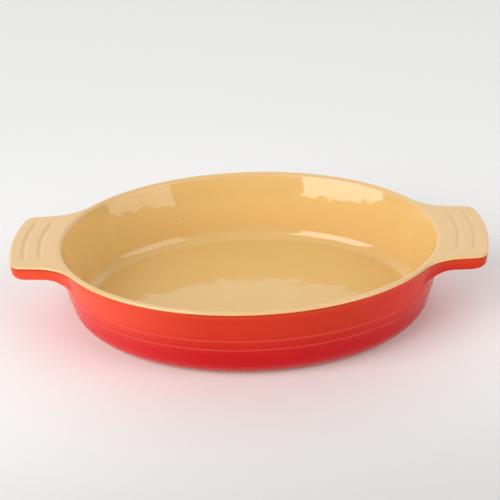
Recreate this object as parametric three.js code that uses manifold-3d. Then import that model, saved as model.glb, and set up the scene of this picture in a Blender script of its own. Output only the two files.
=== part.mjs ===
// Oval gratin dish in glazed stoneware, with two lug handles.
// Millimetres, +Z up. +X runs along the dish to the right lug, +Y to the back.
// The origin is on the table, under the middle of the dish.
import * as THREE from 'three';
import { mergeVertices } from 'three/addons/utils/BufferGeometryUtils.js';
import Module from 'manifold-3d';

// Bowl. Insets are measured inwards, in plan, from the outer edge of the rim.
const OVAL_LENGTH = 280;
const OVAL_WIDTH = 210;
const HEIGHT = 61;
const LIP_OUTER_RADIUS = 1.9;
const LIP_INNER_RADIUS = 3.6;
const OUTER_DRAFT_DEGREES = 11.5;
const FLOOR_LEVEL = 11.5;
const FLOOR_INSET = 26;
const COVE_RADIUS = 10;
const SKIRT_LEVEL = 16;
const SKIRT_INSET = 22;

// Two raised lines round the outer wall.
const UPPER_RIDGE_LEVEL = 35.8;
const LOWER_RIDGE_LEVEL = 27.7;
const RIDGE_WIDTH = 2.2;
const RIDGE_HEIGHT = 0.4;

// Foot ring, set back under the skirt.
const FOOT_HEIGHT = 1.6;
const FOOT_WIDTH = 8;
const FOOT_SETBACK = 2;
const FOOT_CHAMFER = 0.6;

// Lug handles. The reach is measured from the end of the oval, the drop from the top of the rim.
const LUG_REACH = 31.5;
const LUG_WIDTH = 74;
const LUG_FLARE_DEGREES = 4;
const LUG_END_RADIUS = 130;
const LUG_CORNER_RADIUS = 9;
const LUG_FILLET_RADIUS = 36;
const LUG_THICKNESS = 11.2;
const LUG_EDGE_RADIUS = 3.5;
const LUG_EDGE_DRAFT = 0.6;
const LUG_ROOT_DROP = 23;
const LUG_ROOT_RADIUS = 14;

// Two arched grooves across each lug. Setbacks are measured from the lug's end.
const INNER_GROOVE_SETBACK = 21.3;
const OUTER_GROOVE_SETBACK = 10;
const GROOVE_WIDTH = 5;
const GROOVE_DEPTH = 0.9;
const GROOVE_LENGTH = 66;
const GROOVE_RUNOUT = 11;

// Glaze coats and the room between fitted pieces.
const GLAZE_THICKNESS = 0.8;
const GLAZE_CLEARANCE = 0.2;
const LUTING_GAP = 0.3;

// Facets along each stretch of a quarter of the outline.
const END_STEPS = 3;
const CORNER_STEPS = 3;
const SIDE_STEPS = 1;
const FILLET_STEPS = 3;
const OVAL_STEPS = 8;

// Facets along each curve of the section.
const COVE_STEPS = 4;
const LIP_STEPS = 2;
const EDGE_STEPS = 2;
const ROUNDING_STEPS = 2;
const UNDERSIDE_STEPS = 4;
const SKIRT_STEPS = 4;
const RIDGE_STATIONS = [1, 0.5, 0, -0.5, -1];
const GROOVE_STATIONS = [-1, -0.5, 0, 0.5, 1];
const FINEST_ANGLE = 1e-12;
const FINEST_LENGTH = 1e-4;

const HALF_LENGTH = OVAL_LENGTH / 2;
const HALF_WIDTH = OVAL_WIDTH / 2;
const LUG_TIP = HALF_LENGTH + LUG_REACH;
const OUTER_DRAFT = THREE.MathUtils.degToRad(OUTER_DRAFT_DEGREES);
const LUG_FLARE = THREE.MathUtils.degToRad(LUG_FLARE_DEGREES);
const ROOT_LEVEL = HEIGHT - LUG_ROOT_DROP;
const LUG_UNDERSIDE = HEIGHT - LUG_THICKNESS;
const CLAY_DEPTH = GLAZE_THICKNESS + GLAZE_CLEARANCE;

const wasm = await Module();
wasm.setup();

function steps(count) {
  return Array.from({ length: count + 1 }, (unused, step) => step / count);
}

function fromAngle(angle, radius = 1) {
  return new THREE.Vector2(Math.cos(angle), Math.sin(angle)).multiplyScalar(radius);
}

// Points of an arc in the section plane, where x is the inset and y is the height.
function sectionArc(centre, radius, from, to, count) {
  return steps(count).map((s) => centre.clone().add(fromAngle(from + (to - from) * s, radius)));
}

// Plan of the rim

function ovalPoint(angle) {
  return new THREE.Vector2(HALF_LENGTH * Math.cos(angle), HALF_WIDTH * Math.sin(angle));
}

function ovalInward(point) {
  return new THREE.Vector2(-point.x / HALF_LENGTH ** 2, -point.y / HALF_WIDTH ** 2).normalize();
}

// A quarter of the outline, from the middle of the lug's end round to the middle of the long side:
// end arc, corner, flared side, hollow fillet and oval, each tangent to the next.
function outlineQuarter() {
  const endCentre = new THREE.Vector2(LUG_TIP - LUG_END_RADIUS, 0);
  const sideOut = new THREE.Vector2(Math.sin(LUG_FLARE), Math.cos(LUG_FLARE));
  const sideRun = new THREE.Vector2(-Math.cos(LUG_FLARE), Math.sin(LUG_FLARE));
  const sideStart = new THREE.Vector2(LUG_TIP, LUG_WIDTH / 2);

  const cornerLine = sideStart.clone().addScaledVector(sideOut, -LUG_CORNER_RADIUS).sub(endCentre);
  const along = cornerLine.dot(sideRun);
  const cornerReach = LUG_END_RADIUS - LUG_CORNER_RADIUS;
  const travel = -along - Math.sqrt(along ** 2 - cornerLine.lengthSq() + cornerReach ** 2);
  const cornerCentre = cornerLine.clone().addScaledVector(sideRun, travel).add(endCentre);
  const cornerFrom = cornerCentre.clone().sub(endCentre).angle();

  const filletCentreAt = (angle) => {
    const rim = ovalPoint(angle);
    return rim.addScaledVector(ovalInward(rim), -LUG_FILLET_RADIUS);
  };
  let filletAngle = 0;
  for (let step = Math.PI / 4; step > FINEST_ANGLE; step /= 2) {
    const room = filletCentreAt(filletAngle + step).sub(sideStart).dot(sideOut);
    if (room < LUG_FILLET_RADIUS) filletAngle += step;
  }
  const filletCentre = filletCentreAt(filletAngle);
  const filletFrom = sideOut.angle() + Math.PI;
  const filletTo = ovalInward(ovalPoint(filletAngle)).angle();

  const outline = [];
  const addArc = (centre, radius, from, to, count, inwardSign) => {
    for (const s of steps(count).slice(0, -1)) {
      const outward = fromAngle(from + (to - from) * s);
      outline.push({
        edge: centre.clone().addScaledVector(outward, radius),
        edgeIn: outward.multiplyScalar(inwardSign),
      });
    }
  };
  addArc(endCentre, LUG_END_RADIUS, 0, cornerFrom, END_STEPS, -1);
  addArc(cornerCentre, LUG_CORNER_RADIUS, cornerFrom, sideOut.angle(), CORNER_STEPS, -1);
  const sideFrom = cornerCentre.clone().addScaledVector(sideOut, LUG_CORNER_RADIUS);
  const sideTo = filletCentre.clone().addScaledVector(sideOut, -LUG_FILLET_RADIUS);
  for (const s of steps(SIDE_STEPS).slice(0, -1)) {
    outline.push({ edge: sideFrom.clone().lerp(sideTo, s), edgeIn: sideOut.clone().negate() });
  }
  addArc(filletCentre, LUG_FILLET_RADIUS, filletFrom, filletTo, FILLET_STEPS, 1);
  for (const column of outline) {
    const toOval = Math.hypot(column.edge.x / HALF_LENGTH, column.edge.y / HALF_WIDTH);
    column.rim = column.edge.clone().divideScalar(toOval);
    column.rimIn = ovalInward(column.rim);
    column.onLug = true;
  }
  for (const s of steps(OVAL_STEPS)) {
    const rim = ovalPoint(filletAngle + (Math.PI / 2 - filletAngle) * s);
    const rimIn = ovalInward(rim);
    outline.push({ rim, rimIn, edge: rim, edgeIn: rimIn, onLug: false });
  }
  return outline;
}

function mirrored(column, signX, signY) {
  const flip = (v) => new THREE.Vector2(v.x * signX, v.y * signY);
  const rim = flip(column.rim);
  const rimIn = flip(column.rimIn);
  if (!column.onLug) return { rim, rimIn, edge: rim, edgeIn: rimIn, onLug: false };
  return { rim, rimIn, edge: flip(column.edge), edgeIn: flip(column.edgeIn), onLug: true };
}

// The whole outline as columns, anticlockwise from the middle of the right lug's end.
function outlineColumns() {
  const quarter = outlineQuarter();
  const back = quarter.slice().reverse();
  return [
    ...quarter,
    ...back.slice(1).map((column) => mirrored(column, -1, 1)),
    ...quarter.slice(1).map((column) => mirrored(column, -1, -1)),
    ...back.slice(1, -1).map((column) => mirrored(column, 1, -1)),
  ];
}

// Section of the wall

// The lip is rounded widely on the inside and tightly on the outside. Both arcs meet at its crest.
const lipInnerCentre = new THREE.Vector2(LIP_OUTER_RADIUS, HEIGHT - LIP_INNER_RADIUS);
const lipOuterCentre = new THREE.Vector2(LIP_OUTER_RADIUS, HEIGHT - LIP_OUTER_RADIUS);
const coveCentre = new THREE.Vector2(FLOOR_INSET, FLOOR_LEVEL + COVE_RADIUS);

// The inner wall is the straight line that touches the inside of the lip and the back of the cove.
function insideSection() {
  const run = coveCentre.clone().sub(lipInnerCentre);
  const lean = Math.acos((LIP_INNER_RADIUS + COVE_RADIUS) / run.length());
  const wallFacing = Math.atan2(run.y, run.x) + lean;
  const floorEdge = 1.5 * Math.PI;
  return [
    ...sectionArc(coveCentre, COVE_RADIUS, floorEdge, Math.PI + wallFacing, COVE_STEPS),
    ...sectionArc(lipInnerCentre, LIP_INNER_RADIUS, wallFacing, Math.PI / 2, LIP_STEPS),
  ];
}

function straightWallInset(level) {
  const touch = lipOuterCentre.clone().add(fromAngle(Math.PI + OUTER_DRAFT, LIP_OUTER_RADIUS));
  return touch.x + (touch.y - level) * Math.tan(OUTER_DRAFT);
}

// The skirt is an arc that leaves the straight wall smoothly and ends over the foot ring.
const skirtStart = new THREE.Vector2(straightWallInset(SKIRT_LEVEL), SKIRT_LEVEL);
const skirtChord = new THREE.Vector2(SKIRT_INSET, FOOT_HEIGHT).sub(skirtStart);
const skirtTurn = Math.atan2(skirtChord.x, -skirtChord.y) - OUTER_DRAFT;
const skirtRadius = skirtChord.length() / (2 * Math.sin(skirtTurn));
const skirtCentre = skirtStart.clone().add(fromAngle(OUTER_DRAFT, skirtRadius));

function outerInset(level) {
  if (level >= SKIRT_LEVEL) return straightWallInset(level);
  return skirtCentre.x - Math.sqrt(skirtRadius ** 2 - (level - skirtCentre.y) ** 2);
}

function softBump(offset) {
  return Math.abs(offset) < 1 ? (1 + Math.cos(Math.PI * offset)) / 2 : 0;
}

function ridgeRise(level) {
  const ridges = [UPPER_RIDGE_LEVEL, LOWER_RIDGE_LEVEL];
  const rise = ridges.map((ridge) => softBump((level - ridge) / (RIDGE_WIDTH / 2)));
  return RIDGE_HEIGHT * Math.max(...rise);
}

// Rows of points, one point for each column of the outline

function planPoint(start, direction, distance, level) {
  return new THREE.Vector3(start.x + direction.x * distance, start.y + direction.y * distance, level);
}

function rimRow(columns, inset, level) {
  return columns.map((column) => planPoint(column.rim, column.rimIn, inset, level));
}

function edgeRow(columns, inset, level) {
  return columns.map((column) => planPoint(column.edge, column.edgeIn, inset, level));
}

// Lug top, from the crest of the lip out to the crest of the lug's edge. The grooves run along the
// rows and fade out towards the sides.
function topRows(columns) {
  const crest = rimRow(columns, LIP_OUTER_RADIUS, HEIGHT);
  const edgeCrest = edgeRow(columns, LIP_OUTER_RADIUS, HEIGHT);
  const grooves = [INNER_GROOVE_SETBACK, OUTER_GROOVE_SETBACK].map((setback) => LUG_REACH - setback);
  const shares = grooves.flatMap((centre) => GROOVE_STATIONS.map((station) => {
    const distance = centre + LIP_OUTER_RADIUS + station * GROOVE_WIDTH / 2;
    return { share: distance / LUG_REACH, depth: GROOVE_DEPTH * softBump(station) };
  }));
  return [...shares, { share: 1, depth: 0 }].map(({ share, depth }) => columns.map((column, k) => {
    const point = crest[k].clone().lerp(edgeCrest[k], share);
    const fadeFrom = GROOVE_LENGTH / 2 - GROOVE_RUNOUT;
    const fade = 1 - THREE.MathUtils.smoothstep(Math.abs(point.y), fadeFrom, GROOVE_LENGTH / 2);
    if (column.onLug) point.z -= depth * fade;
    return point;
  }));
}

// Lug edge and underside, from the bottom of the upright edge round and in to the root on the wall.
// The underside ends in a hollow that is tangent to the wall. Where the lug runs out into the oval,
// these rows draw together on the root.
function underRows(columns) {
  const rise = LUG_UNDERSIDE - ROOT_LEVEL;
  const lean = rise * Math.tan(OUTER_DRAFT);
  const heightShare = (free) => Math.sqrt(1 - (1 - Math.min(1, free / LUG_ROOT_RADIUS)) ** 2);
  const outFromRoot = (free) => free + lean * heightShare(free);
  const rootInset = straightWallInset(ROOT_LEVEL);
  const root = rimRow(columns, rootInset, ROOT_LEVEL);
  const strips = columns.map((column, k) => {
    const count = ROUNDING_STEPS + UNDERSIDE_STEPS;
    if (!column.onLug) return Array(count + 1).fill(root[k]);
    const reach = column.edge.distanceTo(column.rim);
    const grown = Math.min(1, reach / LUG_ROOT_RADIUS);
    const draft = THREE.MathUtils.lerp(rootInset, LUG_EDGE_DRAFT, grown);
    const round = LUG_EDGE_RADIUS * grown;
    const foot = column.edge.clone().addScaledVector(column.edgeIn, draft);
    const wall = new THREE.Vector2(root[k].x, root[k].y);
    const span = foot.distanceTo(wall);
    const free = Math.max(span - lean, span * LUG_ROOT_RADIUS / (LUG_ROOT_RADIUS + lean));
    const bottom = ROOT_LEVEL + rise * heightShare(free);
    const rounding = sectionArc(
      new THREE.Vector2(round, bottom + round), round, Math.PI, 1.5 * Math.PI, ROUNDING_STEPS,
    ).map((corner) => planPoint(foot, column.edgeIn, corner.x, corner.y));
    const start = rounding.at(-1);
    const underside = steps(UNDERSIDE_STEPS).slice(1).map((s) => {
      const left = free * (1 - s) ** 2;
      const point = root[k].clone().lerp(start, outFromRoot(left) / outFromRoot(free));
      return point.setZ(ROOT_LEVEL + rise * heightShare(left));
    });
    return [...rounding, ...underside];
  });
  return strips[0].map((unused, row) => strips.map((strip) => strip[row]));
}

function outerRows(columns, ridged) {
  const skirtFrom = Math.PI + OUTER_DRAFT;
  const skirt = sectionArc(
    skirtCentre, skirtRadius, skirtFrom, skirtFrom + 2 * skirtTurn, SKIRT_STEPS,
  ).map((point) => point.y);
  const ridges = [UPPER_RIDGE_LEVEL, LOWER_RIDGE_LEVEL].flatMap(
    (ridge) => RIDGE_STATIONS.map((station) => ridge + station * RIDGE_WIDTH / 2),
  );
  const levels = ridged ? [...skirt, ...ridges] : skirt;
  const below = [...new Set(levels)].filter((level) => level < ROOT_LEVEL).sort((a, b) => b - a);
  return below.map((level) => {
    const rise = ridged ? ridgeRise(level) : 0;
    return rimRow(columns, outerInset(level) - rise, level);
  });
}

// The finished surface as rows, from the floor up the inside, over the rim and the lugs, and down
// the outside to the foot.
function dishRows(columns, ridged) {
  const inside = insideSection().map((point) => rimRow(columns, point.x, point.y));
  const edge = sectionArc(lipOuterCentre, LIP_OUTER_RADIUS, Math.PI / 2, Math.PI, EDGE_STEPS)
    .slice(1)
    .map((point) => edgeRow(columns, point.x, point.y));
  return [...inside, ...topRows(columns), ...edge, ...underRows(columns), ...outerRows(columns, ridged)];
}

// Rows that the pieces part at: the crest of the lip, the line just under the rim's outer edge where
// the two glazes meet, and the root of the lugs.
const CREST_ROW = insideSection().length - 1;
const LINE_ROW = CREST_ROW + 2 * GROOVE_STATIONS.length + 1 + EDGE_STEPS;
const ROOT_ROW = LINE_ROW + 1 + ROUNDING_STEPS + UNDERSIDE_STEPS;

// Solids from rows

// Triangles between two neighbouring rows. Each patch is split along its shorter diagonal.
function bandFaces(near, far) {
  return near.flatMap((a, k) => {
    const next = (k + 1) % near.length;
    const [b, c, d] = [far[k], far[next], near[next]];
    if (a.distanceTo(c) <= b.distanceTo(d)) return [[a, b, c], [a, c, d]];
    return [[a, b, d], [b, c, d]];
  });
}

function pointKey(point) {
  return point.toArray().map((value) => Math.round(value / FINEST_LENGTH)).join();
}

// Joins rows into a closed skin. With apex points the ends close on them, otherwise the last row
// joins the first. Points that coincide are shared, and faces that close up are left out.
function loft(rows, apexes = null) {
  const faces = rows.slice(1).flatMap((far, band) => bandFaces(rows[band], far));
  if (apexes) {
    const [start, end] = apexes.map((apex) => rows[0].map(() => apex));
    faces.push(...bandFaces(start, rows[0]), ...bandFaces(rows.at(-1), end));
  } else {
    faces.push(...bandFaces(rows.at(-1), rows[0]));
  }
  const position = [];
  const index = [];
  const seen = new Map();
  const vertex = (point) => {
    const key = pointKey(point);
    if (!seen.has(key)) {
      seen.set(key, position.length / 3);
      position.push(...point.toArray());
    }
    return seen.get(key);
  };
  for (const face of faces) {
    const corners = face.map(vertex);
    if (new Set(corners).size === 3) index.push(...corners);
  }
  const geometry = new THREE.BufferGeometry();
  geometry.setAttribute('position', new THREE.Float32BufferAttribute(position, 3));
  geometry.setIndex(index);
  return geometry;
}

// The same rows, moved into the material by a depth along the surface's own normals.
function sunk(rows, depth) {
  const normals = new Map();
  for (const face of rows.slice(1).flatMap((far, band) => bandFaces(rows[band], far))) {
    const [a, b, c] = face;
    const normal = b.clone().sub(a).cross(c.clone().sub(a));
    for (const corner of face) {
      const known = normals.get(pointKey(corner)) ?? new THREE.Vector3();
      normals.set(pointKey(corner), known.add(normal));
    }
  }
  return rows.map((row) => row.map((point) => {
    const normal = normals.get(pointKey(point)).clone().normalize();
    return point.clone().addScaledVector(normal, -depth);
  }));
}

function middle(level) {
  return new THREE.Vector3(0, 0, level);
}

function atLevel(row, level) {
  return row.map((point) => point.clone().setZ(level));
}

function toSolid(geometry) {
  const bare = geometry.clone();
  bare.deleteAttribute('normal');
  bare.deleteAttribute('uv');
  const merged = mergeVertices(bare);
  return new wasm.Manifold(new wasm.Mesh({
    numProp: 3,
    vertProperties: new Float32Array(merged.attributes.position.array),
    triVerts: new Uint32Array(merged.index.array),
  }));
}

function fromSolid(solid) {
  const mesh = solid.getMesh();
  const geometry = new THREE.BufferGeometry();
  geometry.setAttribute('position', new THREE.BufferAttribute(mesh.vertProperties, 3));
  geometry.setIndex(new THREE.BufferAttribute(mesh.triVerts, 1));
  return geometry;
}

// Pieces

const columns = outlineColumns();
const ovalColumns = columns.map(
  ({ rim, rimIn }) => ({ rim, rimIn, edge: rim, edgeIn: rimIn, onLug: false }),
);
const glazed = dishRows(columns, true);
const coatUnder = sunk(dishRows(columns, false), GLAZE_THICKNESS);
const clay = sunk(dishRows(columns, false), CLAY_DEPTH);
const ovalRows = dishRows(ovalColumns, false);

// Fired clay bowl: floor, cove, wall and lip, with a flat underside.
function stonewareBowl() {
  const floor = FLOOR_LEVEL - CLAY_DEPTH;
  const [floorEdge, ...wall] = sunk(ovalRows, CLAY_DEPTH);
  const underside = atLevel(wall.at(-1), FOOT_HEIGHT);
  return loft([atLevel(floorEdge, floor), ...wall, underside], [middle(floor), middle(FOOT_HEIGHT)]);
}

// Both lug handles in clay, fitted to the wall of the bowl with room for the luting slip.
function lugPair() {
  const crestLevel = HEIGHT - CLAY_DEPTH;
  const crest = atLevel(clay[CREST_ROW], crestLevel);
  const blank = loft(
    [crest, ...clay.slice(CREST_ROW + 1, ROOT_ROW + 1)],
    [middle(crestLevel), middle(ROOT_LEVEL)],
  );
  const wall = sunk(ovalRows, CLAY_DEPTH - LUTING_GAP).slice(CREST_ROW);
  const cutter = loft(
    [atLevel(wall[0], 2 * HEIGHT), ...wall],
    [middle(2 * HEIGHT), middle(wall.at(-1)[0].z)],
  );
  return toSolid(blank).subtract(toSolid(cutter));
}

function lug(pair, side) {
  const reach = 2 * LUG_TIP;
  const half = new THREE.BoxGeometry(reach, 2 * reach, 2 * reach).translate(side * reach / 2, 0, 0);
  return fromSolid(pair.intersect(toSolid(half)));
}

// Bare ring that the dish stands on, its lower edges chamfered.
function footRing() {
  const outer = SKIRT_INSET + FOOT_SETBACK;
  const inner = outer + FOOT_WIDTH;
  return loft([
    rimRow(columns, inner, FOOT_HEIGHT),
    rimRow(columns, outer, FOOT_HEIGHT),
    rimRow(columns, outer, FOOT_CHAMFER),
    rimRow(columns, outer + FOOT_CHAMFER, 0),
    rimRow(columns, inner - FOOT_CHAMFER, 0),
    rimRow(columns, inner, FOOT_CHAMFER),
  ]);
}

// One unbroken coat over the floor, the inner wall, the lip and the tops of the lugs.
function innerGlaze() {
  const floorUnder = FLOOR_LEVEL - GLAZE_THICKNESS;
  const [underEdge, ...underWall] = coatUnder.slice(0, LINE_ROW + 1);
  const under = [atLevel(underEdge, floorUnder), ...underWall].reverse();
  return loft([...glazed.slice(0, LINE_ROW + 1), ...under], [middle(FLOOR_LEVEL), middle(floorUnder)]);
}

// Coat over the lugs' edges and undersides and the outer wall, thicker along the raised lines.
function outerGlaze() {
  return loft([...glazed.slice(LINE_ROW), ...coatUnder.slice(LINE_ROW).reverse()]);
}

// Thin coat on the underside, inside the foot ring.
function baseGlaze() {
  const inset = SKIRT_INSET + FOOT_SETBACK + FOOT_WIDTH + GLAZE_CLEARANCE;
  const under = FOOT_HEIGHT - GLAZE_THICKNESS;
  return loft(
    [rimRow(columns, inset, FOOT_HEIGHT), rimRow(columns, inset, under)],
    [middle(FOOT_HEIGHT), middle(under)],
  );
}

const bareClay = new THREE.MeshStandardMaterial({ color: 0xd9b48c, roughness: 0.85, metalness: 0 });
const creamGlaze = new THREE.MeshStandardMaterial({ color: 0xe8bf86, roughness: 0.12, metalness: 0 });
const redGlaze = new THREE.MeshStandardMaterial({ color: 0xc4281f, roughness: 0.12, metalness: 0 });

const lugs = lugPair();
const dish = new THREE.Group();
const pieces = [
  ['stoneware_bowl', stonewareBowl(), bareClay],
  ['left_lug', lug(lugs, -1), bareClay],
  ['right_lug', lug(lugs, 1), bareClay],
  ['foot_ring', footRing(), bareClay],
  ['inner_glaze', innerGlaze(), creamGlaze],
  ['outer_glaze', outerGlaze(), redGlaze],
  ['base_glaze', baseGlaze(), redGlaze],
];
for (const [name, geometry, material] of pieces) {
  const mesh = new THREE.Mesh(geometry, material);
  mesh.name = name;
  dish.add(mesh);
}

export default dish;
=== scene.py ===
import math

import bpy
import numpy as np
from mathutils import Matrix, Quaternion, Vector


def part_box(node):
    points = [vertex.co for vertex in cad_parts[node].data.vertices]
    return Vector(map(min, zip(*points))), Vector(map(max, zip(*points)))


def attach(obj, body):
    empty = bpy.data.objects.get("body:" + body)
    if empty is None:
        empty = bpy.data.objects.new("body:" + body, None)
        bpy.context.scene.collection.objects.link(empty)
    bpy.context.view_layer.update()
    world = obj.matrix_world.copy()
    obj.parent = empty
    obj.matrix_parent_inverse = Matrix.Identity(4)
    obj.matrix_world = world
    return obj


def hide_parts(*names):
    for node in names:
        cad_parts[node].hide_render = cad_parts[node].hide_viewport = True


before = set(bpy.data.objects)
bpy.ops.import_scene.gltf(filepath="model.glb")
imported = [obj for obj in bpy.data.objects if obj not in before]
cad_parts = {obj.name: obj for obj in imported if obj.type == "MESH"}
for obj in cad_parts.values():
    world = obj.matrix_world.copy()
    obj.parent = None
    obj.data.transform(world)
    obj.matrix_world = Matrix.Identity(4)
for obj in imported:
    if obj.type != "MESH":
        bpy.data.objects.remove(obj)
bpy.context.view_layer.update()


# Clay body: the bowl and the two lug handles.
# Buff stoneware clay, pressed in a mould; the lugs are luted on with slip and all is fired hard.
# The glaze covers it, apart from a narrow band beside the foot ring.
MM = 0.001


def add_node(tree, kind, inputs=None, **settings):
    """Adds a node; an input takes a value or the socket that feeds it."""
    node = tree.nodes.new(kind)
    for name, value in settings.items():
        setattr(node, name, value)
    for key, value in (inputs or {}).items():
        if isinstance(value, bpy.types.NodeSocket):
            tree.links.new(value, node.inputs[key])
        else:
            node.inputs[key].default_value = value
    return node


def new_material(name, roughness, ior):
    """A material with a Principled shader, and the piece's own coordinates to paint it by."""
    material = bpy.data.materials.new(name)
    material.use_nodes = True
    tree = material.node_tree
    shader = tree.nodes["Principled BSDF"]
    shader.inputs["Roughness"].default_value = roughness
    shader.inputs["IOR"].default_value = ior
    place = add_node(tree, "ShaderNodeTexCoord").outputs["Object"]
    return material, tree, shader, place


def mix_colour(tree, factor, first, second):
    mix = add_node(tree, "ShaderNodeMix", data_type="RGBA")
    for index, value in ((0, factor), (6, first), (7, second)):
        if isinstance(value, bpy.types.NodeSocket):
            tree.links.new(value, mix.inputs[index])
        else:
            mix.inputs[index].default_value = value
    return mix.outputs[2]


def bare_clay_material():
    buff = (0.66, 0.44, 0.29, 1)
    toasted = (0.52, 0.31, 0.18, 1)
    grog = (0.27, 0.16, 0.10, 1)
    material, tree, shader, place = new_material("bare_clay", roughness=0.85, ior=1.45)
    toast = add_node(tree, "ShaderNodeTexNoise", {"Vector": place, "Scale": 60.0, "Detail": 4.0})
    grain = add_node(tree, "ShaderNodeTexNoise", {"Vector": place, "Scale": 1400.0, "Detail": 3.0})
    spots = add_node(tree, "ShaderNodeTexVoronoi", {"Vector": place, "Scale": 420.0})
    is_spot = add_node(tree, "ShaderNodeMapRange", {
        "Value": spots.outputs["Distance"],
        "From Min": 0.12, "From Max": 0.2, "To Min": 0.7, "To Max": 0.0,
    })
    body = mix_colour(tree, toast.outputs["Fac"], buff, toasted)
    tree.links.new(mix_colour(tree, is_spot.outputs[0], body, grog), shader.inputs["Base Color"])
    bump = add_node(tree, "ShaderNodeBump", {
        "Height": grain.outputs["Fac"], "Strength": 0.5, "Distance": 0.15 * MM,
    })
    tree.links.new(bump.outputs["Normal"], shader.inputs["Normal"])
    return material


bare_clay = bare_clay_material()
for node in ("stoneware_bowl", "left_lug", "right_lug"):
    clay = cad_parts[node]
    clay.data.materials.clear()
    clay.data.materials.append(bare_clay)


# Foot ring: the low oval ring that the dish stands on.
# Part of the same clay, wiped clean of glaze so that it doesn't stick to the kiln shelf.
# Its section is swept round the oval; the same tree sweeps the glaze coats below.
HALF_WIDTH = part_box("inner_glaze")[1].y
LUG_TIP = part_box("inner_glaze")[1].x
RIM_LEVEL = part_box("inner_glaze")[1].z
LUG_REACH = 31.5 * MM
HALF_LENGTH = LUG_TIP - LUG_REACH
FOOT_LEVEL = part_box("foot_ring")[1].z
FOOT_INSET = HALF_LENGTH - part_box("foot_ring")[1].x
FOOT_WIDTH = 8 * MM
FOOT_ROUNDING = 0.6 * MM
FOOT_ROUNDING_STEPS = 6
SHARP_EDGE = math.radians(40)
PLAN_STEPS = {"end": 18, "corner": 12, "side": 6, "fillet": 20, "oval": 56}
LUG_WIDTH = 74 * MM
LUG_FLARE = math.radians(4)
LUG_END_RADIUS = 130 * MM
LUG_CORNER_RADIUS = 9 * MM
LUG_FILLET_RADIUS = 36 * MM
LUG_SHORTEST = 0.1 * MM


def from_angle(angle, radius=1.0):
    return np.stack([np.cos(angle) * radius, np.sin(angle) * radius], -1)


def arc(centre, radius, start, end, steps):
    return centre + from_angle(np.linspace(start, end, steps + 1), radius)


def oval_point(angle):
    return np.stack([HALF_LENGTH * np.cos(angle), HALF_WIDTH * np.sin(angle)], -1)


def oval_inward(point):
    inward = -point / np.array([HALF_LENGTH ** 2, HALF_WIDTH ** 2])
    return inward / np.linalg.norm(inward, axis=-1, keepdims=True)


def lug_fillet_angle(side_start, side_out):
    """Where on the oval the hollow fillet ends that is tangent to the oval and to the lug's side."""
    low, high = 0.0, math.pi / 2
    for _ in range(60):
        middle = (low + high) / 2
        point = oval_point(middle)
        centre = point - oval_inward(point) * LUG_FILLET_RADIUS
        if np.dot(centre - side_start, side_out) < LUG_FILLET_RADIUS:
            low = middle
        else:
            high = middle
    return low


def quarter_plan():
    """Points of the outline from the lug's end to the long side, with the directions inwards."""
    side_out = np.array([math.sin(LUG_FLARE), math.cos(LUG_FLARE)])
    side_run = np.array([-math.cos(LUG_FLARE), math.sin(LUG_FLARE)])
    side_start = np.array([LUG_TIP, LUG_WIDTH / 2])
    end_centre = np.array([LUG_TIP - LUG_END_RADIUS, 0])

    corner_line = side_start - side_out * LUG_CORNER_RADIUS - end_centre
    along = np.dot(corner_line, side_run)
    corner_reach = LUG_END_RADIUS - LUG_CORNER_RADIUS
    travel = -along - math.sqrt(along ** 2 - np.dot(corner_line, corner_line) + corner_reach ** 2)
    corner = corner_line + side_run * travel
    corner_start = math.atan2(corner[1], corner[0])
    corner_end = math.atan2(side_out[1], side_out[0])
    corner_centre = corner + end_centre

    oval_start = lug_fillet_angle(side_start, side_out)
    tangent = oval_point(oval_start)
    fillet_centre = tangent - oval_inward(tangent) * LUG_FILLET_RADIUS
    to_oval = oval_inward(tangent)
    fillet_start = corner_end + math.pi
    fillet_end = math.atan2(to_oval[1], to_oval[0]) % (2 * math.pi)

    end_angles = np.linspace(0, corner_start, PLAN_STEPS["end"], endpoint=False)
    corner_angles = np.linspace(corner_start, corner_end, PLAN_STEPS["corner"], endpoint=False)
    side_shares = np.linspace(0, 1, PLAN_STEPS["side"], endpoint=False)[:, None]
    fillet_angles = np.linspace(fillet_start, fillet_end, PLAN_STEPS["fillet"], endpoint=False)
    oval = oval_point(np.linspace(oval_start, math.pi / 2, PLAN_STEPS["oval"] + 1))
    side_from = corner_centre + side_out * LUG_CORNER_RADIUS
    side_to = fillet_centre - side_out * LUG_FILLET_RADIUS
    lug_edge = np.concatenate([
        end_centre + from_angle(end_angles, LUG_END_RADIUS),
        corner_centre + from_angle(corner_angles, LUG_CORNER_RADIUS),
        side_from + (side_to - side_from) * side_shares,
        fillet_centre + from_angle(fillet_angles, LUG_FILLET_RADIUS),
    ])
    lug_edge_in = np.concatenate([
        -from_angle(end_angles),
        -from_angle(corner_angles),
        np.repeat(-side_out[None], PLAN_STEPS["side"], axis=0),
        from_angle(fillet_angles),
    ])
    lug_rim = lug_edge / np.linalg.norm(lug_edge / [HALF_LENGTH, HALF_WIDTH], axis=1, keepdims=True)
    lug_rim_in = oval_inward(lug_rim)
    runs_out = np.linalg.norm(lug_edge - lug_rim, axis=1) < LUG_SHORTEST
    lug_edge[runs_out] = lug_rim[runs_out]
    lug_edge_in[runs_out] = lug_rim_in[runs_out]
    oval_in = oval_inward(oval)
    return {
        "rim": np.concatenate([lug_rim, oval]),
        "rim_in": np.concatenate([lug_rim_in, oval_in]),
        "edge": np.concatenate([lug_edge, oval]),
        "edge_in": np.concatenate([lug_edge_in, oval_in]),
    }


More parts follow.
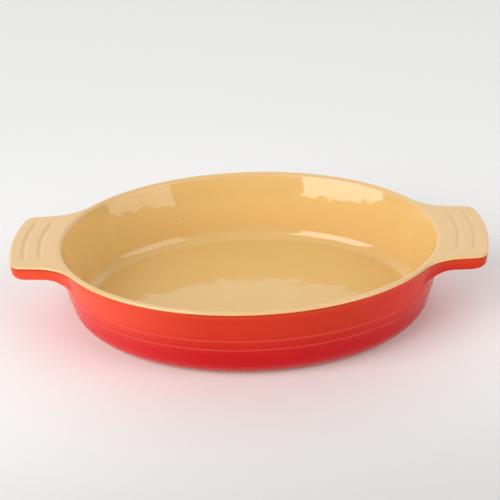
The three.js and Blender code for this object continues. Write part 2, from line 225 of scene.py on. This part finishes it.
def point_object(name, count, attributes):
    """A helper object whose points carry the given attributes."""
    mesh = bpy.data.meshes.new(name)
    mesh.vertices.add(count)
    for key, values in attributes.items():
        values = np.asarray(values, np.float32)
        kind = "FLOAT_VECTOR" if values.ndim == 2 else "FLOAT"
        field = "vector" if values.ndim == 2 else "value"
        mesh.attributes.new(key, kind, "POINT").data.foreach_set(field, values.ravel())
    helper = bpy.data.objects.new(name, mesh)
    bpy.context.scene.collection.objects.link(helper)
    return helper


def plan_attributes():
    """The whole outline, anticlockwise from the middle of the right lug's end."""
    quarter = quarter_plan()
    whole = {}
    for key, points in quarter.items():
        back = points[::-1]
        flat = np.concatenate([
            points, back[1:] * [-1, 1], points[1:] * [-1, -1], back[1:-1] * [1, -1],
        ])
        whole[key] = np.column_stack([flat, np.zeros(len(flat))])
    return whole


def sweep_tree():
    """Sweeps a section round the plan: each grid column is a place on the outline, each row a point of
    the section. Rows with share 0 follow the oval, rows with share 1 follow the edge of the lugs."""
    tree = bpy.data.node_groups.new("Section Round The Plan", "GeometryNodeTree")
    tree.interface.new_socket("Geometry", in_out="INPUT", socket_type="NodeSocketGeometry")
    tree.interface.new_socket("Geometry", in_out="OUTPUT", socket_type="NodeSocketGeometry")
    for name in ("Columns", "Rows"):
        tree.interface.new_socket(name, in_out="INPUT", socket_type="NodeSocketInt")
    for name in (
        "Root Inset", "Root Level", "Root Radius", "Root Lean", "Underside Level",
        "Edge Draft", "Edge Round",
        "Groove Depth", "Groove Half Width", "Inner Groove", "Outer Groove", "Groove Half Length",
        "Groove Runout", "Merge Distance",
    ):
        tree.interface.new_socket(name, in_out="INPUT", socket_type="NodeSocketFloat")
    tree.interface.new_socket("Section", in_out="INPUT", socket_type="NodeSocketObject")
    tree.interface.new_socket("Material", in_out="INPUT", socket_type="NodeSocketMaterial")
    given = tree.nodes.new("NodeGroupInput").outputs

    def calc(operation, *values):
        node = add_node(tree, "ShaderNodeMath", dict(enumerate(values)), operation=operation)
        return node.outputs[0]

    def vector(operation, *values):
        node = add_node(tree, "ShaderNodeVectorMath", dict(enumerate(values)), operation=operation)
        return node.outputs["Value" if operation == "DISTANCE" else "Vector"]

    def along(start, direction, distance):
        scaled = add_node(tree, "ShaderNodeVectorMath", {
            0: direction, "Scale": distance,
        }, operation="SCALE")
        return vector("ADD", start, scaled.outputs["Vector"])

    def between(start, end, share):
        return calc("MULTIPLY_ADD", calc("SUBTRACT", end, start), share, start)

    def sampled(points, key, kind, index):
        named = add_node(tree, "GeometryNodeInputNamedAttribute", {"Name": key}, data_type=kind)
        node = add_node(tree, "GeometryNodeSampleIndex", {
            "Geometry": points, "Value": named.outputs["Attribute"], "Index": index,
        }, data_type=kind)
        return node.outputs["Value"]

    grid = add_node(tree, "GeometryNodeMeshGrid", {
        "Vertices X": calc("ADD", given["Columns"], 1.0), "Vertices Y": given["Rows"],
    })
    index = tree.nodes.new("GeometryNodeInputIndex").outputs[0]
    row = calc("MODULO", index, given["Rows"])
    column = calc("MODULO", calc("FLOOR", calc("DIVIDE", index, given["Rows"])), given["Columns"])
    plan = given["Geometry"]
    section = add_node(tree, "GeometryNodeObjectInfo", {"Object": given["Section"]}).outputs["Geometry"]
    rim = sampled(plan, "rim", "FLOAT_VECTOR", column)
    rim_in = sampled(plan, "rim_in", "FLOAT_VECTOR", column)
    edge = sampled(plan, "edge", "FLOAT_VECTOR", column)
    edge_in = sampled(plan, "edge_in", "FLOAT_VECTOR", column)
    share = sampled(section, "share", "FLOAT", row)
    inset = sampled(section, "inset", "FLOAT", row)
    level = sampled(section, "level", "FLOAT", row)
    centred = sampled(section, "centred", "FLOAT", row)
    under = sampled(section, "under", "FLOAT", row)

    grown = calc("MINIMUM", calc("DIVIDE", vector("DISTANCE", edge, rim), given["Root Radius"]), 1.0)
    draft = between(given["Root Inset"], given["Edge Draft"], grown)
    rounding = calc("MULTIPLY", given["Edge Round"], grown)
    inner = along(rim, rim_in, between(inset, given["Root Inset"], under))
    outer = along(edge, edge_in, between(inset, draft, under))

    def height_share(clear):
        not_yet = calc("SUBTRACT", 1.0, calc("MINIMUM", calc("DIVIDE", clear, given["Root Radius"]), 1.0))
        return calc("SQRT", calc("SUBTRACT", 1.0, calc("MULTIPLY", not_yet, not_yet)))

    def out_from_root(clear):
        return calc("MULTIPLY_ADD", height_share(clear), given["Root Lean"], clear)

    span = calc("SUBTRACT", vector("DISTANCE", inner, outer), given["Merge Distance"])
    hollow = calc("DIVIDE", given["Root Radius"], calc("ADD", given["Root Radius"], given["Root Lean"]))
    clear = calc("MAXIMUM", calc("SUBTRACT", span, given["Root Lean"]), calc("MULTIPLY", span, hollow))
    clear = calc("MAXIMUM", clear, 0.0)
    left = calc("MULTIPLY", clear, share)
    under_share = calc("DIVIDE", out_from_root(left), out_from_root(clear))
    reach = between(share, under_share, under)
    flat = add_node(tree, "ShaderNodeMix", {0: reach, 4: inner, 5: outer}, data_type="VECTOR").outputs[1]
    underside = between(given["Root Level"], given["Underside Level"], height_share(left))
    from_edge = calc("SUBTRACT", rounding, vector("DISTANCE", outer, flat))
    in_rounding = calc("MAXIMUM", from_edge, 0.0)
    radius_squared = calc("MULTIPLY", rounding, rounding)
    fall = calc("SUBTRACT", radius_squared, calc("MULTIPLY", in_rounding, in_rounding))
    lift = calc("SUBTRACT", rounding, calc("SQRT", calc("MAXIMUM", fall, 0.0)))
    under_level = calc("ADD", underside, lift)

    def groove_bump(centre):
        away = calc("DIVIDE", calc("SUBTRACT", share, centre), given["Groove Half Width"])
        near = calc("MINIMUM", calc("ABSOLUTE", away), 1.0)
        return calc("MULTIPLY_ADD", calc("COSINE", calc("MULTIPLY", near, math.pi)), 0.5, 0.5)

    across = add_node(tree, "ShaderNodeSeparateXYZ", {"Vector": flat})
    fade = add_node(tree, "ShaderNodeMapRange", {
        "Value": calc("ABSOLUTE", across.outputs["Y"]),
        "From Min": calc("SUBTRACT", given["Groove Half Length"], given["Groove Runout"]),
        "From Max": given["Groove Half Length"],
        "To Min": 1.0,
        "To Max": 0.0,
    }, interpolation_type="SMOOTHSTEP").outputs[0]
    bumps = calc("ADD", groove_bump(given["Inner Groove"]), groove_bump(given["Outer Groove"]))
    in_groove = calc("MULTIPLY", calc("MULTIPLY", bumps, fade), calc("SUBTRACT", 1.0, under))
    top_level = calc("SUBTRACT", level, calc("MULTIPLY", in_groove, given["Groove Depth"]))
    outwards = calc("SUBTRACT", 1.0, centred)
    place = add_node(tree, "ShaderNodeCombineXYZ", {
        "X": calc("MULTIPLY", across.outputs["X"], outwards),
        "Y": calc("MULTIPLY", across.outputs["Y"], outwards),
        "Z": between(top_level, under_level, under),
    })

    pooled = add_node(tree, "GeometryNodeStoreNamedAttribute", {
        "Geometry": grid.outputs["Mesh"], "Name": "pooled", "Value": in_groove,
    }, data_type="FLOAT", domain="POINT")
    outside = add_node(tree, "GeometryNodeStoreNamedAttribute", {
        "Geometry": pooled.outputs[0], "Name": "outside", "Value": share,
    }, data_type="FLOAT", domain="POINT")
    placed = add_node(tree, "GeometryNodeSetPosition", {
        "Geometry": outside.outputs[0], "Position": place.outputs[0],
    })
    merged = add_node(tree, "GeometryNodeMergeByDistance", {
        "Geometry": placed.outputs[0], "Distance": given["Merge Distance"],
    })
    faced = add_node(tree, "GeometryNodeFlipFaces", {"Mesh": merged.outputs[0]})
    smooth = add_node(tree, "GeometryNodeSetShadeSmooth", {"Geometry": faced.outputs[0]})
    real = add_node(tree, "GeometryNodeRealizeInstances", {"Geometry": smooth.outputs[0]})
    finished = add_node(tree, "GeometryNodeSetMaterial", {
        "Geometry": real.outputs[0], "Material": given["Material"],
    })
    result = tree.nodes.new("NodeGroupOutput")
    tree.links.new(finished.outputs[0], result.inputs[0])
    return tree


def swept_piece(name, rows, material, coat=0.0):
    """A finished piece: the section's rows swept round the plan, with a coat's thickness if it has one.
    A row is (share, inset, level, centred, under)."""
    columns = plan_attributes()
    keys = ("share", "inset", "level", "centred", "under")
    section = point_object(name + "_section", len(rows), dict(zip(keys, np.array(rows).T)))
    piece = point_object(name, len(columns["rim"]), columns)
    modifier = piece.modifiers.new("sweep", "NODES")
    modifier.node_group = section_sweep
    sizes = {**LUG_RULES, "Columns": len(columns["rim"]), "Rows": len(rows)}
    values = {**sizes, "Section": section, "Material": material}
    for socket in section_sweep.interface.items_tree:
        if socket.name in values and socket.in_out == "INPUT":
            modifier[socket.identifier] = values[socket.name]
    if coat:
        shell = piece.modifiers.new("coat", "SOLIDIFY")
        shell.thickness = coat
        shell.offset = -1
    evaluated = piece.evaluated_get(bpy.context.evaluated_depsgraph_get())
    mesh = bpy.data.meshes.new_from_object(evaluated)
    mesh.set_sharp_from_angle(angle=SHARP_EDGE)
    piece.modifiers.clear()
    piece.data = mesh
    bpy.data.objects.remove(section)
    return piece


OUTER_DRAFT = math.radians(11.5)
LIP_OUTER_RADIUS = 1.9 * MM
LIP_INNER_RADIUS = 3.6 * MM
LIP_OUTER_CENTRE = np.array([LIP_OUTER_RADIUS, RIM_LEVEL - LIP_OUTER_RADIUS])
LIP_INNER_CENTRE = np.array([LIP_OUTER_RADIUS, RIM_LEVEL - LIP_INNER_RADIUS])
ROOT_LEVEL = RIM_LEVEL - 23 * MM
UNDERSIDE_LEVEL = RIM_LEVEL - 11.2 * MM


def straight_wall_inset(level):
    touch = LIP_OUTER_CENTRE + from_angle(math.pi + OUTER_DRAFT, LIP_OUTER_RADIUS)
    return touch[0] + (touch[1] - level) * math.tan(OUTER_DRAFT)


LUG_RULES = {
    "Root Inset": straight_wall_inset(ROOT_LEVEL),
    "Root Level": ROOT_LEVEL,
    "Root Radius": 14 * MM,
    "Root Lean": (UNDERSIDE_LEVEL - ROOT_LEVEL) * math.tan(OUTER_DRAFT),
    "Underside Level": UNDERSIDE_LEVEL,
    "Edge Draft": 0.6 * MM,
    "Edge Round": 3.5 * MM,
    "Groove Depth": 0.9 * MM,
    "Groove Half Width": 2.5 * MM / LUG_REACH,
    "Inner Groove": 1 - (21.3 * MM - LIP_OUTER_RADIUS) / LUG_REACH,
    "Outer Groove": 1 - (10 * MM - LIP_OUTER_RADIUS) / LUG_REACH,
    "Groove Half Length": 33 * MM,
    "Groove Runout": 11 * MM,
    "Merge Distance": 2e-7,
}
section_sweep = sweep_tree()


def oval_row(inset, level):
    return (0.0, inset, level, 0.0, 0.0)


def foot_section():
    """Flat against the bowl on top, with both lower edges rounded."""
    inner = FOOT_INSET + FOOT_WIDTH
    lower = FOOT_ROUNDING
    outer_centre = np.array([FOOT_INSET + lower, lower])
    inner_centre = np.array([inner - lower, lower])
    outer_round = arc(outer_centre, lower, math.pi, 1.5 * math.pi, FOOT_ROUNDING_STEPS)
    inner_round = arc(inner_centre, lower, 1.5 * math.pi, 2 * math.pi, FOOT_ROUNDING_STEPS)
    corners = [(inner, FOOT_LEVEL), (FOOT_INSET, FOOT_LEVEL)]
    return [oval_row(x, z) for x, z in [*corners, *outer_round, *inner_round, corners[0]]]


foot_ring = swept_piece("foot_ring_bare", foot_section(), bare_clay)
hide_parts("foot_ring")
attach(foot_ring, "root")


# Inner glaze: one coat over the floor, the wall, the lip and the tops of the lugs.
# Warm cream glaze, poured in and fired glossy; it pools in the grooves and thins over the lip.
# It ends in a line under the outer edge of the rim, where it turns orange.
COAT = 0.8 * MM
FLOOR_LEVEL = 11.5 * MM
FLOOR_INSET = 26 * MM
COVE_RADIUS = 10 * MM
COVE_CENTRE = np.array([FLOOR_INSET, FLOOR_LEVEL + COVE_RADIUS])
WALL_BOW_RADIUS = 350 * MM
GLAZE_LINE = LIP_OUTER_CENTRE[1]
INNER_STEPS = {"cove": 14, "wall": 16, "lip": 10, "edge": 8}
LUG_TOP_STEPS = (5, 14, 4, 14, 3)


def glaze_surface_group():
    """What both glazes share: cloudy tone, fine specks and the slow ripple of a poured surface."""
    group = bpy.data.node_groups.new("Glaze Surface", "ShaderNodeTree")
    for name, kind in (("Place", "NodeSocketVector"), ("Cloud Scale", "NodeSocketFloat"),
                       ("Speck Scale", "NodeSocketFloat"), ("Speck Share", "NodeSocketFloat")):
        group.interface.new_socket(name, in_out="INPUT", socket_type=kind)
    for name in ("Cloud", "Specks", "Ripple"):
        group.interface.new_socket(name, in_out="OUTPUT", socket_type="NodeSocketFloat")
    given = group.nodes.new("NodeGroupInput").outputs
    cloud = add_node(group, "ShaderNodeTexNoise", {
        "Vector": given["Place"], "Scale": given["Cloud Scale"], "Detail": 3.0, "Distortion": 0.4,
    })
    cells = add_node(group, "ShaderNodeTexVoronoi", {
        "Vector": given["Place"], "Scale": given["Speck Scale"],
    })
    chance = add_node(group, "ShaderNodeSeparateColor", {"Color": cells.outputs["Color"]})
    chosen = add_node(group, "ShaderNodeMath", {
        0: chance.outputs["Red"], 1: given["Speck Share"],
    }, operation="LESS_THAN")
    dot = add_node(group, "ShaderNodeMapRange", {
        "Value": cells.outputs["Distance"],
        "From Min": 0.02, "From Max": 0.17, "To Min": 0.7, "To Max": 0.0,
    })
    specks = add_node(group, "ShaderNodeMath", {
        0: dot.outputs[0], 1: chosen.outputs[0],
    }, operation="MULTIPLY")
    slow = add_node(group, "ShaderNodeTexNoise", {"Vector": given["Place"], "Scale": 45.0, "Detail": 1.0})
    quick = add_node(group, "ShaderNodeTexNoise", {"Vector": given["Place"], "Scale": 120.0, "Detail": 1.0})
    ripple = add_node(group, "ShaderNodeMath", {
        0: quick.outputs["Fac"], 1: 0.3, 2: slow.outputs["Fac"],
    }, operation="MULTIPLY_ADD")
    result = group.nodes.new("NodeGroupOutput")
    group.links.new(cloud.outputs["Fac"], result.inputs["Cloud"])
    group.links.new(specks.outputs[0], result.inputs["Specks"])
    group.links.new(ripple.outputs[0], result.inputs["Ripple"])
    return group


glaze_surface = glaze_surface_group()


def glaze_nodes(tree, place, cloud_scale, speck_scale, speck_share):
    node = add_node(tree, "ShaderNodeGroup", node_tree=glaze_surface)
    tree.links.new(place, node.inputs["Place"])
    node.inputs["Cloud Scale"].default_value = cloud_scale
    node.inputs["Speck Scale"].default_value = speck_scale
    node.inputs["Speck Share"].default_value = speck_share
    return node.outputs


def height_of(tree, place):
    return add_node(tree, "ShaderNodeSeparateXYZ", {"Vector": place}).outputs["Z"]


def ramp(tree, value, low, high, low_value=0.0, high_value=1.0):
    """A smooth step of a value between two limits."""
    return add_node(tree, "ShaderNodeMapRange", {
        "Value": value, "From Min": low, "From Max": high, "To Min": low_value, "To Max": high_value,
    }, interpolation_type="SMOOTHSTEP").outputs[0]


def multiply(tree, first, second):
    return add_node(tree, "ShaderNodeMath", {0: first, 1: second}, operation="MULTIPLY").outputs[0]


def cream_glaze_material():
    thin_cream = (0.775, 0.50, 0.215, 1)
    edge_peach = (0.82, 0.46, 0.25, 1)
    line_orange = (0.80, 0.26, 0.07, 1)
    honey = (0.81, 0.53, 0.20, 1)
    deep_honey = (0.78, 0.50, 0.175, 1)
    pooled_honey = (0.72, 0.44, 0.17, 1)
    speck_brown = (0.46, 0.28, 0.11, 1)
    material, tree, shader, place = new_material("cream_glaze", roughness=0.05, ior=1.6)
    surface = glaze_nodes(tree, place, cloud_scale=22.0, speck_scale=130.0, speck_share=0.05)
    pooled = add_node(tree, "ShaderNodeAttribute", attribute_name="pooled").outputs["Fac"]
    height = height_of(tree, place)
    inside = mix_colour(tree, surface["Cloud"], honey, deep_honey)
    near_rim = ramp(tree, height, 56 * MM, 60 * MM)
    body = mix_colour(tree, near_rim, inside, thin_cream)
    in_groove = ramp(tree, pooled, 0.0, 1.0, 0.0, 0.5)
    body = mix_colour(tree, in_groove, body, pooled_honey)
    outside = add_node(tree, "ShaderNodeAttribute", attribute_name="outside").outputs["Fac"]
    on_edge = ramp(tree, outside, 0.6, 0.95)
    lower_edge = ramp(tree, height, GLAZE_LINE, RIM_LEVEL - 0.2 * MM, 1.0, 0.0)
    at_line = ramp(tree, height, GLAZE_LINE, GLAZE_LINE + 0.9 * MM, 0.9, 0.0)
    body = mix_colour(tree, multiply(tree, on_edge, lower_edge), body, edge_peach)
    body = mix_colour(tree, multiply(tree, on_edge, at_line), body, line_orange)
    body = mix_colour(tree, surface["Specks"], body, speck_brown)
    tree.links.new(body, shader.inputs["Base Color"])
    duller_rim = ramp(tree, height, 57 * MM, 60.5 * MM, 0.05, 0.22)
    tree.links.new(duller_rim, shader.inputs["Roughness"])
    bump = add_node(tree, "ShaderNodeBump", {
        "Height": surface["Ripple"], "Strength": 0.8, "Distance": 0.5 * MM,
    })
    tree.links.new(bump.outputs["Normal"], shader.inputs["Normal"])
    return material


def centre_row(level):
    return (0.0, 0.0, level, 1.0, 0.0)


def inner_section():
    """Floor, cove, a wall that flares a little more towards the top, lip, lug top and lug edge."""
    run = COVE_CENTRE - LIP_INNER_CENTRE
    to_lip = WALL_BOW_RADIUS - LIP_INNER_RADIUS
    to_cove = WALL_BOW_RADIUS + COVE_RADIUS
    length = np.linalg.norm(run)
    along = (to_lip ** 2 - to_cove ** 2 + length ** 2) / (2 * length)
    across = math.sqrt(to_lip ** 2 - along ** 2)
    direction = run / length
    bow_centre = LIP_INNER_CENTRE + direction * along + np.array([direction[1], -direction[0]]) * across
    lip_facing = math.atan2(*(LIP_INNER_CENTRE - bow_centre)[::-1])
    cove_facing = math.atan2(*(COVE_CENTRE - bow_centre)[::-1])
    cove = arc(COVE_CENTRE, COVE_RADIUS, 1.5 * math.pi, math.pi + cove_facing, INNER_STEPS["cove"])
    wall = arc(bow_centre, WALL_BOW_RADIUS, cove_facing, lip_facing, INNER_STEPS["wall"])
    lip = arc(LIP_INNER_CENTRE, LIP_INNER_RADIUS, lip_facing, math.pi / 2, INNER_STEPS["lip"])
    half = LUG_RULES["Groove Half Width"]
    inner = LUG_RULES["Inner Groove"]
    outer = LUG_RULES["Outer Groove"]
    stops = [0, inner - half, inner + half, outer - half, outer + half, 1]
    shares = [
        np.linspace(start, end, steps + 1)[1:]
        for start, end, steps in zip(stops, stops[1:], LUG_TOP_STEPS)
    ]
    edge = arc(LIP_OUTER_CENTRE, LIP_OUTER_RADIUS, math.pi / 2, math.pi, INNER_STEPS["edge"])
    rows = [centre_row(FLOOR_LEVEL)]
    rows += [oval_row(x, z) for x, z in [*cove, *wall[1:], *lip[1:]]]
    rows += [(share, LIP_OUTER_RADIUS, RIM_LEVEL, 0.0, 0.0) for share in np.concatenate(shares)]
    rows += [(1.0, x, z, 0.0, 0.0) for x, z in edge[1:]]
    return rows


cream_glaze = cream_glaze_material()
inner_glaze = swept_piece("inner_glaze_coat", inner_section(), cream_glaze, COAT)
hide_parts("inner_glaze")
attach(inner_glaze, "root")


# Outer glaze: one coat over the edges and undersides of the lugs and down the outer wall.
# Glossy red glaze, sprayed on, orange red at the rim and deepening to crimson at the foot.
# Two raised lines run round the wall, and the coat thins to a peach band at the turn of the skirt.
SKIRT_LEVEL = 16 * MM
SKIRT_END = np.array([22, 0.5]) * MM
SKIRT_STEPS = 16
LOWER_WALL_LEVELS = (23 * MM, 19.5 * MM)
RIDGE_LEVELS = (35.8 * MM, 27.7 * MM)
RIDGE_HALF_WIDTH = 1.2 * MM
RIDGE_HEIGHT = 0.3 * MM
RIDGE_STEPS = 14
LUG_EDGE_SHARE = 0.12
LUG_ROOT_SHARE = 0.27
LUG_CURVE_STEPS = 10
LUG_FLAT_STEPS = 5


def red_glaze_material():
    orange_red = (0.62, 0.029, 0.008, 1)
    crimson = (0.54, 0.003, 0.005, 1)
    painted_light_orange = (0.82, 0.075, 0.03, 1)
    painted_light_crimson = (0.66, 0.018, 0.02, 1)
    painted_light_red = (0.74, 0.022, 0.008, 1)
    line_orange = (0.72, 0.06, 0.01, 1)
    line_brown = (0.33, 0.024, 0.003, 1)
    ridge_break_and_highlight = (0.80, 0.12, 0.08, 1)
    thin_peach = (0.80, 0.40, 0.27, 1)
    material, tree, shader, place = new_material("red_glaze", roughness=0.06, ior=1.26)
    surface = glaze_nodes(tree, place, cloud_scale=30.0, speck_scale=160.0, speck_share=0.03)
    across = add_node(tree, "ShaderNodeSeparateXYZ", {"Vector": place}).outputs["X"]
    height = height_of(tree, place)
    wavy = add_node(tree, "ShaderNodeMath", {
        0: surface["Cloud"], 1: 8 * MM, 2: height,
    }, operation="MULTIPLY_ADD").outputs[0]
    depth = ramp(tree, wavy, 22 * MM, 50 * MM)
    body = mix_colour(tree, depth, crimson, orange_red)
    # Lighter and more orange towards the left end: painted light for the stronger light on the dish's left
    # side.
    painted_light_body = mix_colour(tree, depth, painted_light_crimson, painted_light_orange)
    painted_light_to_left = ramp(tree, across, -115 * MM, -15 * MM, 1.0, 0.0)
    body = mix_colour(tree, painted_light_to_left, body, painted_light_body)
    # Brighter, warmer red on the upper wall towards the right lug: painted light.
    to_right_lug = ramp(tree, across, 60 * MM, 115 * MM, 0.0, 0.8)
    under_right_lug = ramp(tree, across, 115 * MM, 135 * MM, 1.0, 0.0)
    painted_light_near_lug = multiply(tree, to_right_lug, under_right_lug)
    body = mix_colour(tree, multiply(tree, painted_light_near_lug, depth), body, painted_light_red)
    # Lighter pink along the raised lines: partly the glaze breaking thin over them, partly a painted
    # highlight.
    for level in RIDGE_LEVELS:
        rising = ramp(tree, height, level - 1.0 * MM, level)
        falling = ramp(tree, height, level, level + 1.0 * MM, 0.35, 0.0)
        body = mix_colour(tree, multiply(tree, rising, falling), body, ridge_break_and_highlight)
    below_line = ramp(tree, height, GLAZE_LINE - 6 * MM, GLAZE_LINE - 1 * MM, 0.0, 0.6)
    at_line = ramp(tree, height, GLAZE_LINE - 1.4 * MM, GLAZE_LINE - 0.5 * MM)
    from_nick = ramp(tree, across, -40 * MM, -37 * MM, 0.1, 0.95)
    to_right_wall = ramp(tree, across, 60 * MM, 85 * MM, 1.0, 0.1)
    from_centre = add_node(tree, "ShaderNodeMath", {0: across}, operation="ABSOLUTE").outputs[0]
    on_lugs = ramp(tree, from_centre, 108 * MM, 118 * MM, 0.0, 0.9)
    on_line = add_node(tree, "ShaderNodeMath", {
        0: multiply(tree, from_nick, to_right_wall), 1: on_lugs,
    }, operation="MAXIMUM").outputs[0]
    body = mix_colour(tree, below_line, body, line_orange)
    body = mix_colour(tree, multiply(tree, at_line, on_line), body, line_brown)
    thin_below = ramp(tree, height, 2.2 * MM, 3.8 * MM, 1.0, 0.0)
    thin_above = ramp(tree, height, 0.8 * MM, 1.6 * MM)
    body = mix_colour(tree, multiply(tree, thin_below, thin_above), body, thin_peach)
    tree.links.new(body, shader.inputs["Base Color"])
    bump = add_node(tree, "ShaderNodeBump", {
        "Height": surface["Ripple"], "Strength": 0.35, "Distance": 0.5 * MM,
    })
    tree.links.new(bump.outputs["Normal"], shader.inputs["Normal"])
    return material


def outer_section():
    """Lug edge and underside, straight wall with two raised lines, and a skirt turned in to the foot."""
    start = np.array([straight_wall_inset(SKIRT_LEVEL), SKIRT_LEVEL])
    chord = SKIRT_END - start
    turn = math.atan2(chord[0], -chord[1]) - OUTER_DRAFT
    radius = np.linalg.norm(chord) / (2 * math.sin(turn))
    centre = start + from_angle(OUTER_DRAFT, radius)
    skirt_from = math.pi + OUTER_DRAFT
    skirt = arc(centre, radius, skirt_from, skirt_from + 2 * turn, SKIRT_STEPS)

    stations = np.linspace(1, -1, RIDGE_STEPS + 1)
    swell = (1 + np.cos(np.pi * stations)) / 2
    wall = []
    for ridge in RIDGE_LEVELS:
        for station, rise in zip(stations, swell):
            level = ridge + station * RIDGE_HALF_WIDTH
            wall.append((straight_wall_inset(level) - RIDGE_HEIGHT * rise, level))
    wall += [(straight_wall_inset(level), level) for level in LOWER_WALL_LEVELS]

    lefts = np.concatenate([
        1 - LUG_EDGE_SHARE * np.linspace(0, 1, LUG_CURVE_STEPS + 1) ** 2,
        np.linspace(1 - LUG_EDGE_SHARE, LUG_ROOT_SHARE, LUG_FLAT_STEPS + 1)[1:],
        LUG_ROOT_SHARE * np.linspace(1, 0, LUG_CURVE_STEPS + 1)[1:] ** 2,
    ])
    rows = [(1.0, 0.0, GLAZE_LINE, 0.0, 0.0)]
    rows += [(left, 0.0, 0.0, 0.0, 1.0) for left in lefts]
    rows += [oval_row(x, z) for x, z in [*wall, *skirt]]
    return rows


red_glaze = red_glaze_material()
outer_glaze = swept_piece("outer_glaze_coat", outer_section(), red_glaze, COAT)
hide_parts("outer_glaze")
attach(outer_glaze, "root")


# Base glaze: a thin oval coat on the underside, inside the foot ring.
# The same red glaze, sprayed on before the foot is wiped clean.
BASE_CLEARANCE = 0.2 * MM


def base_section():
    inset = FOOT_INSET + FOOT_WIDTH + BASE_CLEARANCE
    under = FOOT_LEVEL - COAT
    return [
        centre_row(FOOT_LEVEL),
        oval_row(inset, FOOT_LEVEL),
        oval_row(inset, under),
        centre_row(under),
    ]


base_glaze = swept_piece("base_glaze_coat", base_section(), red_glaze)
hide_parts("base_glaze")
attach(base_glaze, "root")


# Table: a pale sheet that the dish stands on, not part of the dish.
# It carries the soft shadow and the red light that the wall throws on it.
TABLE_REACH = 6.0


def pale_table():
    mesh = bpy.data.meshes.new("table")
    ways = ((-1, -1), (1, -1), (1, 1), (-1, 1))
    corners = [(x * TABLE_REACH, y * TABLE_REACH, 0) for x, y in ways]
    mesh.from_pydata(corners, [], [(0, 1, 2, 3)])
    material, tree, shader, place = new_material("pale_table", roughness=0.6, ior=1.3)
    front = (0.66, 0.66, 0.645, 1)
    near = (0.92, 0.92, 0.91, 1)
    far = (0.87, 0.87, 0.86, 1)
    split = add_node(tree, "ShaderNodeSeparateXYZ", {"Vector": place}).outputs
    # Darker towards the front right and lighter near the dish: painted shade and painted light for the
    # fall-off of the studio light over the table.
    from_front_right = add_node(tree, "ShaderNodeMath", {
        0: split["X"], 1: -0.2, 2: split["Y"],
    }, operation="MULTIPLY_ADD").outputs[0]
    tone = mix_colour(tree, ramp(tree, from_front_right, -0.30, -0.06), front, near)
    tone = mix_colour(tree, ramp(tree, split["Y"], 0.1, 0.4), tone, far)
    tree.links.new(tone, shader.inputs["Base Color"])
    mesh.materials.append(material)
    table = bpy.data.objects.new("table", mesh)
    bpy.context.scene.collection.objects.link(table)


pale_table()


# Studio light: a large upright soft box at the front left, a weaker one at the front right,
# and a pale backdrop that the glaze mirrors.
BOX_CLEARANCE = 0.05


def soft_box(name, degrees_left, distance, width, height, power):
    """An upright panel just above the table plane, turned to the dish."""
    turn = math.radians(degrees_left)
    middle = height / 2 + BOX_CLEARANCE
    place = Vector((-math.sin(turn) * distance, -math.cos(turn) * distance, middle))
    light = bpy.data.lights.new(name, "AREA")
    light.shape = "RECTANGLE"
    light.size = width
    light.size_y = height
    light.energy = power
    lamp = bpy.data.objects.new(name, light)
    lamp.location = place
    lamp.rotation_mode = "QUATERNION"
    lamp.rotation_quaternion = Vector((-place.x, -place.y, 0)).to_track_quat("-Z", "Y")
    bpy.context.scene.collection.objects.link(lamp)


soft_box("key_box", degrees_left=49.3, distance=2.66, width=2.33, height=3.9, power=111.0)
soft_box("fill_box", degrees_left=-57.0, distance=2.66, width=2.15, height=3.9, power=48.0)


def studio_world():
    world = bpy.data.worlds.new("studio")
    bpy.context.scene.world = world
    world.use_nodes = True
    tree = world.node_tree
    background = tree.nodes["Background"]
    path = tree.nodes.new("ShaderNodeLightPath").outputs
    direction = add_node(tree, "ShaderNodeTexCoord").outputs["Generated"]
    towards = add_node(tree, "ShaderNodeSeparateXYZ", {"Vector": direction}).outputs
    dark_front = (0.04, 0.04, 0.04, 1)
    dim_ceiling = (0.38, 0.38, 0.38, 1)
    lit_ceiling = (0.55, 0.55, 0.55, 1)
    lit_backdrop = (1.13, 1.13, 1.12, 1)
    pale = (0.81, 0.81, 0.80, 1)
    ceiling = mix_colour(tree, ramp(tree, towards["Y"], 0.0, 0.3), dim_ceiling, lit_ceiling)
    room = mix_colour(tree, ramp(tree, towards["Z"], 0.3, 0.45), dark_front, ceiling)
    below_ceiling = ramp(tree, towards["Z"], 0.65, 0.85, 1.0, 0.0)
    on_backdrop = multiply(tree, ramp(tree, towards["Y"], 0.2, 0.6), below_ceiling)
    room = mix_colour(tree, on_backdrop, room, lit_backdrop)
    seen = mix_colour(tree, path["Is Camera Ray"], room, pale)
    tree.links.new(seen, background.inputs["Color"])


studio_world()
bpy.context.scene.view_settings.view_transform = "Standard"


# Camera: above the front of the dish, a little to its right, rolled slightly.
# Turn, roll and tilt are in radians, lens and sensor in millimetres.
CAMERA_TARGET = Vector((0, 0, 25 * MM))
CAMERA_DISTANCE = 0.95
CAMERA_ELEVATION = math.radians(30.78)
CAMERA_TURN = 0.040
CAMERA_ROLL = -0.0446
CAMERA_TILT = 0.0218
CAMERA_LENS = 93.15
CAMERA_SENSOR = 36.0

back = Vector((
    math.sin(CAMERA_TURN) * math.cos(CAMERA_ELEVATION),
    -math.cos(CAMERA_TURN) * math.cos(CAMERA_ELEVATION),
    math.sin(CAMERA_ELEVATION),
))
camera = bpy.data.objects.new("camera", bpy.data.cameras.new("camera"))
camera.data.lens = CAMERA_LENS
camera.data.sensor_width = CAMERA_SENSOR
camera.data.sensor_fit = "HORIZONTAL"
camera.location = CAMERA_TARGET + back * CAMERA_DISTANCE
camera.rotation_mode = "QUATERNION"
camera.rotation_quaternion = (
    (-back).to_track_quat("-Z", "Y")
    @ Quaternion((0, 0, 1), CAMERA_ROLL)
    @ Quaternion((1, 0, 0), CAMERA_TILT)
)
bpy.context.scene.collection.objects.link(camera)
bpy.context.scene.camera = camera
